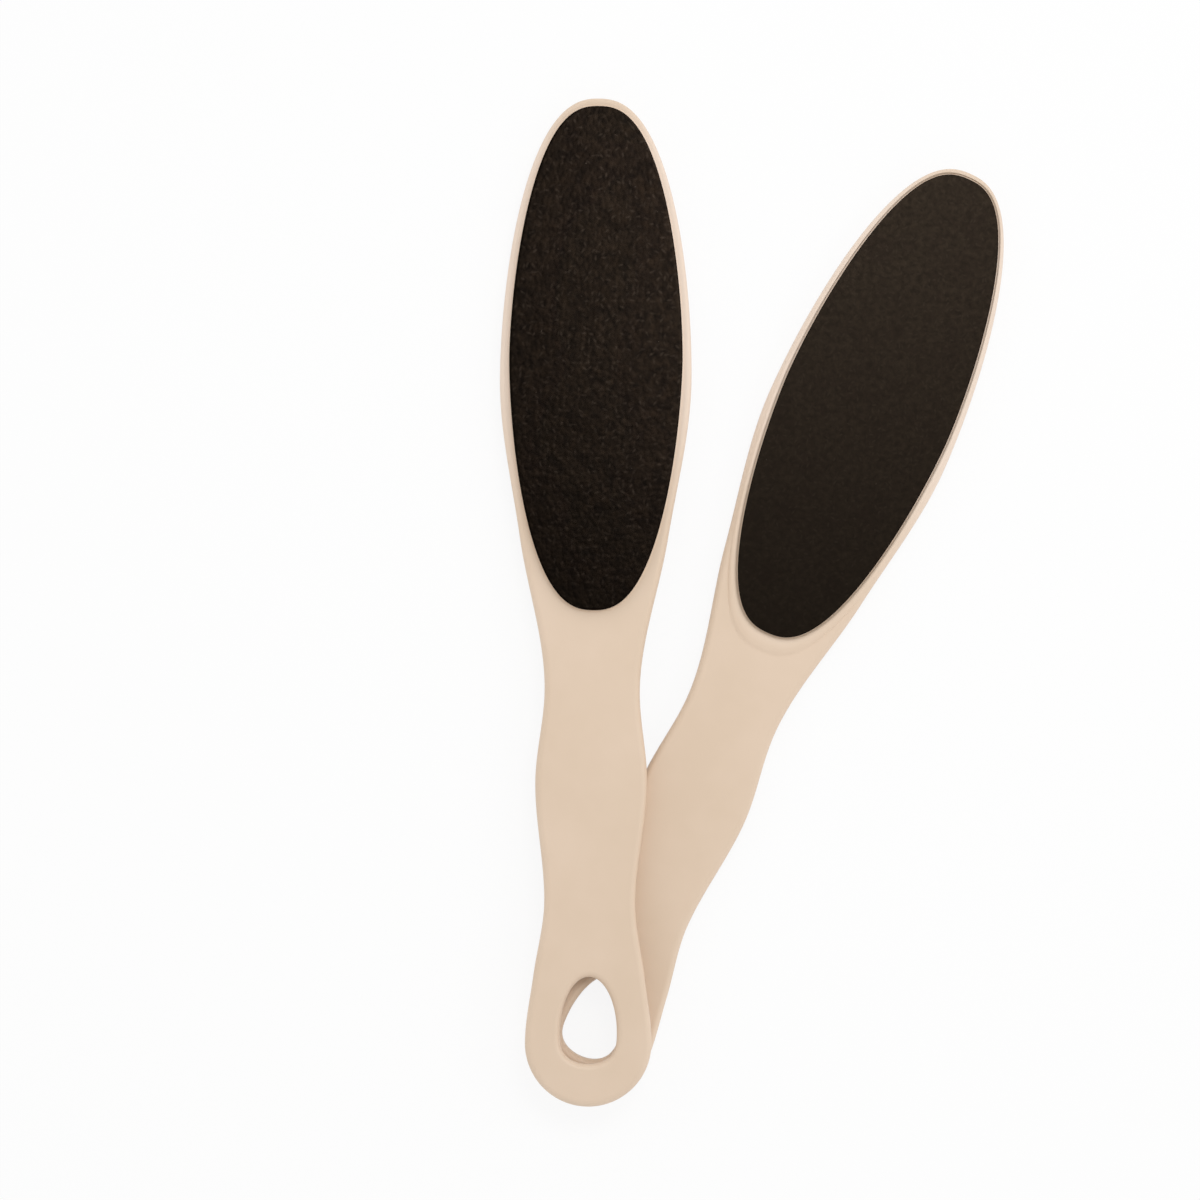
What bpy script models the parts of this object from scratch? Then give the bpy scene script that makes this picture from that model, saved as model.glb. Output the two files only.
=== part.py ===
"""A pair of double-sided foot files, the upper one laid across the handle of the lower one.

Each file is a moulded plastic paddle: an egg-shaped head, a waisted handle with a swell for the
palm, and a round end with a hang hole. An oval abrasive pad is glued to each face of the head.
The coarse pad stands on a raised bed, and the fine pad lies inside a low bezel. A pad is three
layers: an adhesive film, a paper backing and a coat of grit.

Metres, +Z up. The origin is on the table top, in the middle of the pair's footprint. +Y runs
along the upper file towards its head. In a file's own frame the origin is the tip of the head,
-Y runs down the middle line to the ring end, z = 0 is the mid-plane and the fine face is up.
"""

import math

import bmesh
import bpy
import numpy as np
from mathutils import Matrix, Vector

# Moulded body, seen from above
FILE_LENGTH = 0.220
HEAD_WIDTH = 0.0418
HEAD_WIDEST_AT = 0.0613
NECK_WIDTH = 0.0207
NECK_AT = 0.1295
SWELL_WIDTH = 0.0243
WAIST_WIDTH = 0.0198
RING_DIAMETER = 0.0275
NOSE_ALONG_POWER = 1.87
NOSE_ACROSS_POWER = 2.4

# Where the outline bends between the head's widest place and the neck, and how far it has
# narrowed there, then the places of swell, waist and flare between the neck and the ring's middle
SHOULDER_PLACE_SHARE = 0.51
SHOULDER_FALL_SHARE = 0.45
SWELL_PLACE_SHARE = 0.26
WAIST_PLACE_SHARE = 0.60
FLARE_PLACE_SHARE = 0.81
FLARE_RISE_SHARE = 0.57

# Moulded body, seen from the side
BODY_THICKNESS = 0.0038
EDGE_ROUND = 0.0013
BED_MARGIN = 0.00025
BED_HEIGHT = 0.0003
BED_ROUND = 0.00012
BEZEL_HEIGHT = 0.0005
BEZEL_TIP_WIDTH = 0.0006
BEZEL_SIDE_WIDTH = 0.0011
BEZEL_HEEL_WIDTH = 0.0038

# Hang hole: an egg with its narrow end towards the head
HOLE_LENGTH = 0.0190
HOLE_WIDTH = 0.0124
HOLE_FROM_END = 0.0092
HOLE_WIDEST_SHARE = 0.35
HOLE_NARROW_POWER = 2.0
HOLE_ROUND_POWER = 3.0
HOLE_ACROSS_POWER = 2.0

# Abrasive pads
COARSE_PAD_LENGTH = 0.1101
COARSE_PAD_FROM_TIP = 0.0019
FINE_PAD_LENGTH = 0.1083
FINE_PAD_FROM_TIP = 0.0014
PAD_WIDTH = 0.0378
PAD_ALONG_POWER = 1.7
PAD_ACROSS_POWER = 2.5
PAD_CLEARANCE = 0.0003
ADHESIVE_THICKNESS = 0.00015
BACKING_THICKNESS = 0.00035
COARSE_GRIT_THICKNESS = 0.00035
FINE_GRIT_THICKNESS = 0.0002
LAYER_GAP = 0.00005

# How the pair lies: turns are clockwise from +Y, and the lower file's hang hole is a little
# to the right of the upper one's and further up
UPPER_TURN = math.radians(0.65)
LOWER_TURN = math.radians(23.85)
HOLE_OFFSET_RIGHT = 0.0021
HOLE_OFFSET_UP = 0.0007
REST_GAP = 0.0003

# Fineness of the curves
NOSE_STEPS = 14
HANDLE_STEPS = 40
RING_STEPS = 10
EGG_STEPS = 10
PAD_STEPS = 18
ROUND_STEPS = 4
BEZEL_STEPS = 6
CROSSING_STEPS = 4000
SHARP_ANGLE = math.radians(32)
CORNER_ANGLE = math.radians(50)

FACE = BODY_THICKNESS / 2
RING_RADIUS = RING_DIAMETER / 2
RING_AT = FILE_LENGTH - RING_RADIUS
PAD_HALF_WIDTH = PAD_WIDTH / 2
HOLE_HALF_WIDTH = HOLE_WIDTH / 2
HOLE_ROUND_REACH = HOLE_LENGTH * HOLE_WIDEST_SHARE
HOLE_NARROW_REACH = HOLE_LENGTH - HOLE_ROUND_REACH
HOLE_AT = FILE_LENGTH - HOLE_FROM_END - HOLE_LENGTH / 2
HOLE_WIDEST_AT = FILE_LENGTH - HOLE_FROM_END - HOLE_ROUND_REACH

# Each pad's middle, as a distance from the tip, and half its length
COARSE_PAD = (COARSE_PAD_FROM_TIP + COARSE_PAD_LENGTH / 2, COARSE_PAD_LENGTH / 2)
FINE_PAD = (FINE_PAD_FROM_TIP + FINE_PAD_LENGTH / 2, FINE_PAD_LENGTH / 2)


def clear_scene():
    for thing in list(bpy.data.objects):
        bpy.data.objects.remove(thing, do_unlink=True)


def finish(name, colour, roughness):
    """A Principled material of one plain colour."""
    material = bpy.data.materials.new(name)
    material.use_nodes = True
    shader = material.node_tree.nodes["Principled BSDF"]
    shader.inputs["Base Color"].default_value = (*colour, 1.0)
    shader.inputs["Roughness"].default_value = roughness
    shader.inputs["Metallic"].default_value = 0.0
    return material


# Outlines

def smooth_through(places, values, at):
    """A curve through stations that never overshoots them: cubic pieces that are level at each
    high or low station and elsewhere have the harmonic mean of the slopes on either side."""
    step = np.diff(places)
    rise = np.diff(values) / step
    slope = np.zeros(len(places))
    before, after = rise[:-1], rise[1:]
    passes = before * after > 0
    slope[1:-1][passes] = 2 * (before * after)[passes] / (before + after)[passes]
    k = np.clip(np.searchsorted(places, at) - 1, 0, len(step) - 1)
    t = (at - places[k]) / step[k]
    from_start = (1 + 2 * t) * (1 - t) ** 2 * values[k] + t * t * (3 - 2 * t) * values[k + 1]
    return from_start + step[k] * t * (1 - t) * ((1 - t) * slope[k] - t * slope[k + 1])


def half_width(place):
    """Half the body's width at a distance from the tip: a superellipse for the nose, a smooth
    curve down the handle, and a circle round the ring end."""
    head_span = NECK_AT - HEAD_WIDEST_AT
    handle_span = RING_AT - NECK_AT
    shoulder_width = HEAD_WIDTH - SHOULDER_FALL_SHARE * (HEAD_WIDTH - NECK_WIDTH)
    flare_width = WAIST_WIDTH + FLARE_RISE_SHARE * (RING_DIAMETER - WAIST_WIDTH)
    stations = (
        (HEAD_WIDEST_AT, HEAD_WIDTH),
        (HEAD_WIDEST_AT + SHOULDER_PLACE_SHARE * head_span, shoulder_width),
        (NECK_AT, NECK_WIDTH),
        (NECK_AT + SWELL_PLACE_SHARE * handle_span, SWELL_WIDTH),
        (NECK_AT + WAIST_PLACE_SHARE * handle_span, WAIST_WIDTH),
        (NECK_AT + FLARE_PLACE_SHARE * handle_span, flare_width),
        (RING_AT, RING_DIAMETER),
    )
    places, widths = np.array(stations).T
    towards_tip = np.clip(1 - place / HEAD_WIDEST_AT, 0, 1)
    nose = (1 - towards_tip ** NOSE_ALONG_POWER) ** (1 / NOSE_ACROSS_POWER)
    past_ring = np.clip((place - RING_AT) / RING_RADIUS, 0, 1)
    end = np.sqrt(1 - past_ring ** 2)
    middle = smooth_through(places, widths / 2, np.clip(place, HEAD_WIDEST_AT, RING_AT))
    return middle * nose * end


def body_places():
    """Distances from the tip, closer together where the outline turns faster."""
    turn = np.linspace(0, math.pi / 2, NOSE_STEPS + 1)
    nose = HEAD_WIDEST_AT * (1 - np.cos(turn) ** (2 / NOSE_ALONG_POWER))
    handle = np.linspace(HEAD_WIDEST_AT, RING_AT, HANDLE_STEPS + 1)[1:]
    end = RING_AT + RING_RADIUS * np.sin(np.linspace(0, math.pi / 2, RING_STEPS + 1)[1:])
    return np.concatenate([nose, handle, end])


def body_outline():
    """The body's outline as a closed loop, anticlockwise from the tip."""
    place = body_places()
    width = half_width(place)
    left = np.column_stack([-width, -place])
    right = np.column_stack([width, -place])[-2:0:-1]
    return np.concatenate([left, right])


def egg(half_wide, up_reach, down_reach, up_power, down_power, across_power, centre_at, steps):
    """A closed loop round a place on the middle line, anticlockwise from its upper end. Each
    half is a superellipse with its own reach and power along the middle line."""
    turn = np.linspace(0, 2 * math.pi, 4 * steps, endpoint=False)
    up = np.cos(turn)
    across = np.sin(turn)
    x = -half_wide * np.sign(across) * np.abs(across) ** (2 / across_power)
    y_up = up_reach * np.abs(up) ** (2 / up_power)
    y_down = -down_reach * np.abs(up) ** (2 / down_power)
    return np.column_stack([x, np.where(up > 0, y_up, y_down) - centre_at])


def pad_outline(pad, wider=0.0, up_longer=0.0, down_longer=0.0):
    """A pad's oval, grown sideways and at either end."""
    pad_at, half_length = pad
    return egg(
        PAD_HALF_WIDTH + wider, half_length + up_longer, half_length + down_longer,
        PAD_ALONG_POWER, PAD_ALONG_POWER, PAD_ACROSS_POWER, pad_at, PAD_STEPS,
    )


def hole_outline():
    return egg(
        HOLE_HALF_WIDTH, HOLE_NARROW_REACH, HOLE_ROUND_REACH,
        HOLE_NARROW_POWER, HOLE_ROUND_POWER, HOLE_ACROSS_POWER, HOLE_WIDEST_AT, EGG_STEPS,
    )


# Solids

def shaded(mesh):
    mesh.shade_smooth()
    mesh.set_sharp_from_angle(angle=SHARP_ANGLE)
    return mesh


def stack(name, levels):
    """A closed solid through loops of equally many points, lowest first, each with its height."""
    form = bmesh.new()
    rings = []
    for loop, height in levels:
        rings.append([form.verts.new((x, y, height)) for x, y in loop])
    count = len(rings[0])
    for below, above in zip(rings, rings[1:]):
        for i in range(count):
            j = (i + 1) % count
            form.faces.new((below[i], below[j], above[j], above[i]))
    form.faces.new(rings[0][::-1])
    form.faces.new(rings[-1])
    mesh = bpy.data.meshes.new(name)
    form.to_mesh(mesh)
    form.free()
    return mesh


def bezel_mesh():
    """A domed band between two ovals, with a foot that reaches down into the body. It is
    narrow at the sides and the tip, and wide below the pad's lower end."""
    inner = pad_outline(FINE_PAD, PAD_CLEARANCE, PAD_CLEARANCE, PAD_CLEARANCE)
    outer = pad_outline(
        FINE_PAD,
        PAD_CLEARANCE + BEZEL_SIDE_WIDTH,
        PAD_CLEARANCE + BEZEL_TIP_WIDTH,
        PAD_CLEARANCE + BEZEL_HEEL_WIDTH,
    )
    form = bmesh.new()
    rings = []
    for turn in np.linspace(0, math.pi, BEZEL_STEPS + 1):
        share = (1 - math.cos(turn)) / 2
        loop = inner + share * (outer - inner)
        height = FACE + BEZEL_HEIGHT * math.sin(turn)
        rings.append([form.verts.new((x, y, height)) for x, y in loop])
    for loop in (outer, inner):
        rings.append([form.verts.new((x, y, 0)) for x, y in loop])
    count = len(inner)
    for ring, following in zip(rings, rings[1:] + rings[:1]):
        for i in range(count):
            j = (i + 1) % count
            form.faces.new((ring[i], following[i], following[j], ring[j]))
    bmesh.ops.recalc_face_normals(form, faces=form.faces)
    mesh = bpy.data.meshes.new("bezel")
    form.to_mesh(mesh)
    form.free()
    return mesh


def helper(name, mesh):
    """An object that only shapes another one."""
    thing = bpy.data.objects.new(name, mesh)
    bpy.context.scene.collection.objects.link(thing)
    thing.hide_render = True
    thing.display_type = "WIRE"
    return thing


def combine(thing, operation, other):
    modifier = thing.modifiers.new(f"{operation.lower()}_{other.name}", "BOOLEAN")
    modifier.operation = operation
    modifier.object = other
    modifier.solver = "EXACT"


def body_mesh():
    """The moulding in one piece: a flat blank, cut by the hang hole, rounded along every edge,
    then given the bezel on its fine face and the bed on its coarse face."""
    blank = helper("blank", stack("blank", [(body_outline(), -FACE), (body_outline(), FACE)]))
    opening = hole_outline()
    through = BODY_THICKNESS
    hole = helper("hang_hole", stack("hang_hole", [(opening, -through), (opening, through)]))
    bezel = helper("bezel", bezel_mesh())
    low = -FACE - BED_HEIGHT
    inset = BED_MARGIN - BED_ROUND
    bed_top = pad_outline(COARSE_PAD, inset, inset, inset)
    bed_side = pad_outline(COARSE_PAD, BED_MARGIN, BED_MARGIN, BED_MARGIN)
    bed = helper("bed", stack("bed", [(bed_top, low), (bed_side, low + BED_ROUND), (bed_side, 0)]))

    combine(blank, "DIFFERENCE", hole)
    edges = blank.modifiers.new("rounded_edges", "BEVEL")
    edges.width = EDGE_ROUND
    edges.segments = ROUND_STEPS
    edges.limit_method = "ANGLE"
    edges.angle_limit = CORNER_ANGLE
    combine(blank, "UNION", bezel)
    combine(blank, "UNION", bed)

    bpy.context.view_layer.update()
    seen = blank.evaluated_get(bpy.context.evaluated_depsgraph_get())
    mesh = bpy.data.meshes.new_from_object(seen)
    mesh.name = "file_body"
    for thing in (blank, hole, bezel, bed):
        bpy.data.objects.remove(thing, do_unlink=True)
    return shaded(mesh)


def layer_mesh(name, pad, bottom, thickness):
    """One flat layer of a pad, between two heights."""
    loop = pad_outline(pad)
    return shaded(stack(name, [(loop, bottom), (loop, bottom + thickness)]))


def pad_layers(side, pad, seat, outwards, grit_thickness):
    """The three layers of one pad, from its seat outwards, and how far out the grit reaches."""
    meshes = {}
    reach = seat
    for layer, thickness in (
        ("adhesive", ADHESIVE_THICKNESS),
        ("backing", BACKING_THICKNESS),
        ("grit", grit_thickness),
    ):
        reach += LAYER_GAP
        bottom = reach if outwards > 0 else -reach - thickness
        meshes[f"{side}_{layer}"] = layer_mesh(f"{side}_{layer}", pad, bottom, thickness)
        reach += thickness
    return meshes, reach


# How the pair lies

def plan_turn(clockwise):
    """The 2-D turn of a file whose head points clockwise of +Y."""
    c, s = math.cos(clockwise), math.sin(clockwise)
    return np.array([[c, s], [-s, c]])


def tip_place(clockwise, hole_place):
    """Where a file's tip is when its hang hole is at a given place."""
    return hole_place + plan_turn(clockwise) @ np.array([0, HOLE_AT])


def crossing_reach(upper_tip, lower_tip):
    """How far from the upper file's tip the lower file's edge first passes under it."""
    place = np.linspace(0, FILE_LENGTH, CROSSING_STEPS)
    width = half_width(place)
    edges = np.concatenate([np.column_stack([-width, -place]), np.column_stack([width, -place])])
    on_table = edges @ plan_turn(LOWER_TURN).T + lower_tip
    in_upper = (on_table - upper_tip) @ plan_turn(UPPER_TURN)
    along = -in_upper[:, 1]
    under = (np.abs(in_upper[:, 0]) < half_width(np.clip(along, 0, FILE_LENGTH))) & (along > 0)
    return float(along[under & (along < FILE_LENGTH)].min())


def resting_pitch(reach, fine_reach, coarse_reach):
    """The upper file's slope: its fine pad touches the table by the tip, and the flat of its
    handle just clears the top of the lower file where they first cross."""
    rise = coarse_reach + FACE + REST_GAP
    span = reach - FINE_PAD_FROM_TIP
    drop = fine_reach - FACE
    return math.asin(rise / math.hypot(span, drop)) - math.atan2(drop, span)


def file_matrix(clockwise, pitch, flip, tip):
    """From a file's own frame to the table: turned over, sloped and swung round its tip."""
    turn = Matrix.Rotation(-clockwise, 4, "Z")
    slope = Matrix.Rotation(-pitch, 4, "X")
    over = Matrix.Rotation(math.pi if flip else 0.0, 4, "Y")
    return Matrix.Translation(tip) @ turn @ slope @ over


def footprint_middle(matrices):
    """The middle of both outlines together, seen from above."""
    points = []
    for matrix in matrices:
        points += [matrix @ Vector((x, y, 0)) for x, y in body_outline()]
    xs = [p.x for p in points]
    ys = [p.y for p in points]
    return Vector(((min(xs) + max(xs)) / 2, (min(ys) + max(ys)) / 2, 0))


def place_file(name, matrix, meshes, materials):
    """One file: an empty that carries its body and its six pad layers."""
    carrier = bpy.data.objects.new(f"{name}_file", None)
    bpy.context.scene.collection.objects.link(carrier)
    carrier.matrix_world = matrix
    for piece, mesh in meshes.items():
        thing = bpy.data.objects.new(f"{name}_{piece}", mesh)
        bpy.context.scene.collection.objects.link(thing)
        thing.parent = carrier
        if not mesh.materials:
            mesh.materials.append(materials[piece])


def main():
    clear_scene()
    plastic = finish("cream_plastic", (0.75, 0.58, 0.46), 0.42)
    adhesive = finish("clear_adhesive", (0.58, 0.52, 0.42), 0.3)
    paper = finish("backing_paper", (0.06, 0.045, 0.035), 0.85)
    coarse = finish("coarse_grit", (0.017, 0.012, 0.008), 0.9)
    fine = finish("fine_grit", (0.024, 0.017, 0.012), 0.85)
    materials = {
        "body": plastic,
        "coarse_adhesive": adhesive, "coarse_backing": paper, "coarse_grit": coarse,
        "fine_adhesive": adhesive, "fine_backing": paper, "fine_grit": fine,
    }

    coarse_meshes, coarse_reach = pad_layers(
        "coarse", COARSE_PAD, FACE + BED_HEIGHT, -1, COARSE_GRIT_THICKNESS)
    fine_meshes, fine_reach = pad_layers("fine", FINE_PAD, FACE, 1, FINE_GRIT_THICKNESS)
    meshes = {"body": body_mesh(), **coarse_meshes, **fine_meshes}

    upper_tip = tip_place(UPPER_TURN, np.zeros(2))
    lower_tip = tip_place(LOWER_TURN, np.array([HOLE_OFFSET_RIGHT, HOLE_OFFSET_UP]))
    reach = crossing_reach(upper_tip, lower_tip)
    pitch = resting_pitch(reach, fine_reach, coarse_reach)
    upper_height = fine_reach * math.cos(pitch) - FINE_PAD_FROM_TIP * math.sin(pitch)
    lower = file_matrix(LOWER_TURN, 0.0, False, Vector((*lower_tip, coarse_reach)))
    upper = file_matrix(UPPER_TURN, pitch, True, Vector((*upper_tip, upper_height)))
    middle = Matrix.Translation(-footprint_middle((lower, upper)))
    place_file("lower", middle @ lower, meshes, materials)
    place_file("upper", middle @ upper, meshes, materials)
    print(f"crossing {reach:.4f} m from the upper tip, pitch {math.degrees(pitch):.3f} degrees")


main()
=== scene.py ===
# %% [markdown]
# # A pair of foot files
# Two moulded plastic files lie on a table, one across the handle of the other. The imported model
# already holds their real size and place. This script gives them their surfaces: mouldings with
# smooth edges, abrasive coats with real grain, and the light that shows them.
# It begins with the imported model, because every new piece is measured from it.

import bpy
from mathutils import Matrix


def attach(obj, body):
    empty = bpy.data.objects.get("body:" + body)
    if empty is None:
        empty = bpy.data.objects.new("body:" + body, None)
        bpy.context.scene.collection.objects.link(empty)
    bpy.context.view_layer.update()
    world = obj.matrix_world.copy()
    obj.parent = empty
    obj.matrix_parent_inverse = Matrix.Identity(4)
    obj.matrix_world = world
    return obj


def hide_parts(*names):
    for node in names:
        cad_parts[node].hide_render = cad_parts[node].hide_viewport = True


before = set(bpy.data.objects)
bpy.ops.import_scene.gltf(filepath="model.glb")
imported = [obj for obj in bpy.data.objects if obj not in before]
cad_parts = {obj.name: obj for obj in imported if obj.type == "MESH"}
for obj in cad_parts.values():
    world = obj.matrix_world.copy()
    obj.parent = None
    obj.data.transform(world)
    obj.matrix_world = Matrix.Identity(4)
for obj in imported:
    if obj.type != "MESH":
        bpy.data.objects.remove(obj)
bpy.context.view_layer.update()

import math

import bmesh
import bpy
import numpy as np
from mathutils import Matrix

MM = 0.001

# %% [markdown]
# ## Where each file lies
# Both files are one moulding, so its surface is worked out once, in the file's own frame: the
# origin at the tip of the head, -Y down the handle, and the fine face up. It is then laid where
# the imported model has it. That place could be typed in, but then it could drift from the model.
# Here it is read from the pads: a pad's points spread most along the file, less across it and
# least through its thickness, and a singular value decomposition gives those three directions.

# %% Read the two places
BODY_THICKNESS = 3.8 * MM
BED_HEIGHT = 0.3 * MM
FACE = BODY_THICKNESS / 2
ROUNDING_DIGITS = 7


def node_points(node):
    """The different corner points of a node's mesh, one row each, in metres."""
    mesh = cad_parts[node].data
    points = np.zeros(len(mesh.vertices) * 3, np.float32)
    mesh.vertices.foreach_get("co", points)
    return np.unique(points.reshape(-1, 3).astype(float).round(ROUNDING_DIGITS), axis=0)


def file_place(name):
    """A turn (columns: across, along, out) and an origin, for one file. Along is the direction in
    which the fine pad spreads most, turned away from the handle. Out is the one in which it
    spreads least, turned away from the coarse pad. The origin lies as far along as the body
    reaches, and in the middle of its thickness."""
    fine = node_points(f"{name}_fine_grit")
    coarse = node_points(f"{name}_coarse_grit")
    body = node_points(f"{name}_body")
    middle = fine.mean(0)
    spread = np.linalg.svd(fine - middle, full_matrices=False)[2]
    along = spread[0] * np.sign((middle - body.mean(0)) @ spread[0])
    out = spread[2] * np.sign((middle - coarse.mean(0)) @ spread[2])
    across = np.cross(along, out)
    reach = ((body - middle) @ along).max()
    mid_plane = ((body - middle) @ out).min() + BED_HEIGHT + FACE
    origin = middle + reach * along + mid_plane * out
    return np.column_stack([across, along, out]), origin


places = {name: file_place(name) for name in ("lower", "upper")}
for name, (turn, origin) in places.items():
    print(name, "tip in mm:", np.round(origin / MM, 2), "along:", np.round(turn[:, 1], 4))

# %% [markdown]
# ## The outline of the moulding
# From above a file is an egg-shaped head, a waisted handle with a swell for the palm, and a round
# end. Half its width is one function of the distance from the tip: a superellipse for the nose, a
# smooth curve through a few widths, and a circle. A hand-drawn spline would do too, but a formula
# can be read at any fineness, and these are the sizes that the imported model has.

# %% Half the width at a distance from the tip
FILE_LENGTH = 220 * MM
HEAD_WIDTH = 41.8 * MM
HEAD_WIDEST_AT = 61.3 * MM
NECK_WIDTH = 20.7 * MM
NECK_AT = 129.5 * MM
SWELL_WIDTH = 24.3 * MM
WAIST_WIDTH = 19.8 * MM
RING_DIAMETER = 27.5 * MM
NOSE_ALONG_POWER = 1.87
NOSE_ACROSS_POWER = 2.4
SHOULDER_PLACE_SHARE = 0.51
SHOULDER_FALL_SHARE = 0.45
SWELL_PLACE_SHARE = 0.26
WAIST_PLACE_SHARE = 0.60
FLARE_PLACE_SHARE = 0.81
FLARE_RISE_SHARE = 0.57

RING_RADIUS = RING_DIAMETER / 2
RING_AT = FILE_LENGTH - RING_RADIUS


def smooth_through(places_along, values, at):
    """A curve through stations that never overshoots them: cubic pieces, level at each high or low
    station, elsewhere with the harmonic mean of the slopes on either side."""
    step = np.diff(places_along)
    rise = np.diff(values) / step
    slope = np.zeros(len(values))
    before, after = rise[:-1], rise[1:]
    passes = before * after > 0
    slope[1:-1][passes] = 2 * (before * after)[passes] / (before + after)[passes]
    k = np.clip(np.searchsorted(places_along, at) - 1, 0, len(step) - 1)
    t = (at - places_along[k]) / step[k]
    from_start = (1 + 2 * t) * (1 - t) ** 2 * values[k] + t * t * (3 - 2 * t) * values[k + 1]
    return from_start + step[k] * t * (1 - t) * ((1 - t) * slope[k] - t * slope[k + 1])


def half_width(place):
    """The middle stations' curve, times the nose's superellipse, times the end's circle."""
    head_span = NECK_AT - HEAD_WIDEST_AT
    handle_span = RING_AT - NECK_AT
    stations = np.array([
        (HEAD_WIDEST_AT, HEAD_WIDTH),
        (HEAD_WIDEST_AT + SHOULDER_PLACE_SHARE * head_span,
         HEAD_WIDTH - SHOULDER_FALL_SHARE * (HEAD_WIDTH - NECK_WIDTH)),
        (NECK_AT, NECK_WIDTH),
        (NECK_AT + SWELL_PLACE_SHARE * handle_span, SWELL_WIDTH),
        (NECK_AT + WAIST_PLACE_SHARE * handle_span, WAIST_WIDTH),
        (NECK_AT + FLARE_PLACE_SHARE * handle_span,
         WAIST_WIDTH + FLARE_RISE_SHARE * (RING_DIAMETER - WAIST_WIDTH)),
        (RING_AT, RING_DIAMETER),
    ])
    towards_tip = np.clip(1 - place / HEAD_WIDEST_AT, 0, 1)
    nose = (1 - towards_tip ** NOSE_ALONG_POWER) ** (1 / NOSE_ACROSS_POWER)
    past_ring = np.clip((place - RING_AT) / RING_RADIUS, 0, 1)
    end = np.sqrt(1 - past_ring ** 2)
    kept = np.clip(place, HEAD_WIDEST_AT, RING_AT)
    return smooth_through(stations[:, 0], stations[:, 1] / 2, kept) * nose * end


widths = 2 * half_width(np.array([HEAD_WIDEST_AT, NECK_AT, RING_AT])) / MM
print("head, neck and ring widths in mm:", np.round(widths, 2))

# %% [markdown]
# ## One row of places, three stretches
# The moulding is a plate with a hole, and its edges are what catches the light. A grid whose lines
# follow the edges needs far fewer faces than an even one. Each column of this grid starts on the
# outline and runs inwards: to the pad in the head, to the middle line in the handle, and to the
# hang hole in the ring. Columns crowd where the outline turns, by a cosine rule.

# %% Where the columns start and end
HEAD_COLUMNS = 220
HANDLE_COLUMNS = 110
RING_COLUMNS = 90
HEAD_END = 114 * MM
RING_START = 187 * MM
HANDLE_CROWDING = 1.6


def eased(count):
    """Shares from 0 to 1, crowded at both ends: half of one less the cosine of even angles."""
    return (1 - np.cos(np.linspace(0, math.pi, count + 1))) / 2


head_share = eased(HEAD_COLUMNS)
handle_share = np.linspace(0, 1, HANDLE_COLUMNS + 1)[1:] ** HANDLE_CROWDING
ring_share = eased(RING_COLUMNS)
column_place = np.concatenate([
    HEAD_END * head_share,
    HEAD_END + (RING_START - HEAD_END) * handle_share,
    RING_START + (FILE_LENGTH - RING_START) * ring_share[1:],
])


def left_line(half, place):
    """Points of a line left of the middle line. Its two ends lie on the middle line."""
    line = np.column_stack([-half, -place])
    line[[0, -1], 0] = 0
    return line


def inwards(line):
    """The unit normal at each point of such a line, to the left of travel. Past either end the
    line goes on as its own mirror image."""
    mirror = np.array([-1, 1])
    before = np.vstack([line[1] * mirror, line[:-1]])
    after = np.vstack([line[1:], line[-2] * mirror])
    travel = after - before
    normal = np.column_stack([-travel[:, 1], travel[:, 0]])
    return normal / np.linalg.norm(normal, axis=1, keepdims=True)


outline = left_line(half_width(column_place), column_place)
outline_inwards = inwards(outline)
print("columns on each side:", len(column_place))

# %% [markdown]
# ## The lines that the columns run to
# The pad is an oval with a blunt top and bottom, and the hang hole is an egg with its narrow end
# towards the head. The hole's own rounded edge is a separate strip later, so the columns stop
# short of it by the radius of that edge.

# %% The pad's oval and the hang hole
COARSE_PAD_LENGTH = 110.1 * MM
COARSE_PAD_FROM_TIP = 1.9 * MM
FINE_PAD_LENGTH = 108.3 * MM
FINE_PAD_FROM_TIP = 1.4 * MM
PAD_HALF_WIDTH = 37.8 * MM / 2
PAD_ALONG_POWER = 1.7
PAD_ACROSS_POWER = 2.5
EDGE_ROUND = 1.3 * MM

# Each pad's middle, as a distance from the tip, and half its length
COARSE_PAD = (COARSE_PAD_FROM_TIP + COARSE_PAD_LENGTH / 2, COARSE_PAD_LENGTH / 2)
FINE_PAD = (FINE_PAD_FROM_TIP + FINE_PAD_LENGTH / 2, FINE_PAD_LENGTH / 2)

HOLE_LENGTH = 19.0 * MM
HOLE_HALF_WIDTH = 12.4 * MM / 2
HOLE_TO_FILE_END = 9.2 * MM
HOLE_WIDEST_SHARE = 0.35
HOLE_NARROW_POWER = 2.0
HOLE_ROUND_POWER = 3.0
HOLE_END = FILE_LENGTH - HOLE_TO_FILE_END
HOLE_WIDEST_AT = HOLE_END - HOLE_WIDEST_SHARE * HOLE_LENGTH


def pad_line(pad, grown, share):
    """The left half of a pad's oval, grown all round: across and along, each raised to its own
    power, sum to one."""
    pad_at, half_length = pad
    reach = half_length + grown
    along = 2 * share - 1
    half = (PAD_HALF_WIDTH + grown) * (1 - np.abs(along) ** PAD_ALONG_POWER) ** (
        1 / PAD_ACROSS_POWER)
    return left_line(half, pad_at + reach * along)


def hole_line(share):
    """The left half of the hole: an ellipse towards the head, and past the widest place a rounder
    curve whose along power is three."""
    place = HOLE_END - HOLE_LENGTH * (1 - share)
    past = place - HOLE_WIDEST_AT
    reach = HOLE_LENGTH * np.where(past < 0, 1 - HOLE_WIDEST_SHARE, HOLE_WIDEST_SHARE)
    power = np.where(past < 0, HOLE_NARROW_POWER, HOLE_ROUND_POWER)
    half = HOLE_HALF_WIDTH * np.sqrt(np.clip(1 - np.abs(past / reach) ** power, 0, 1))
    return left_line(half, place)


hole_edge = hole_line(ring_share)
hole_inwards = inwards(hole_edge)
hole_seat = hole_edge - EDGE_ROUND * hole_inwards
hole_seat[[0, -1], 0] = 0


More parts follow.
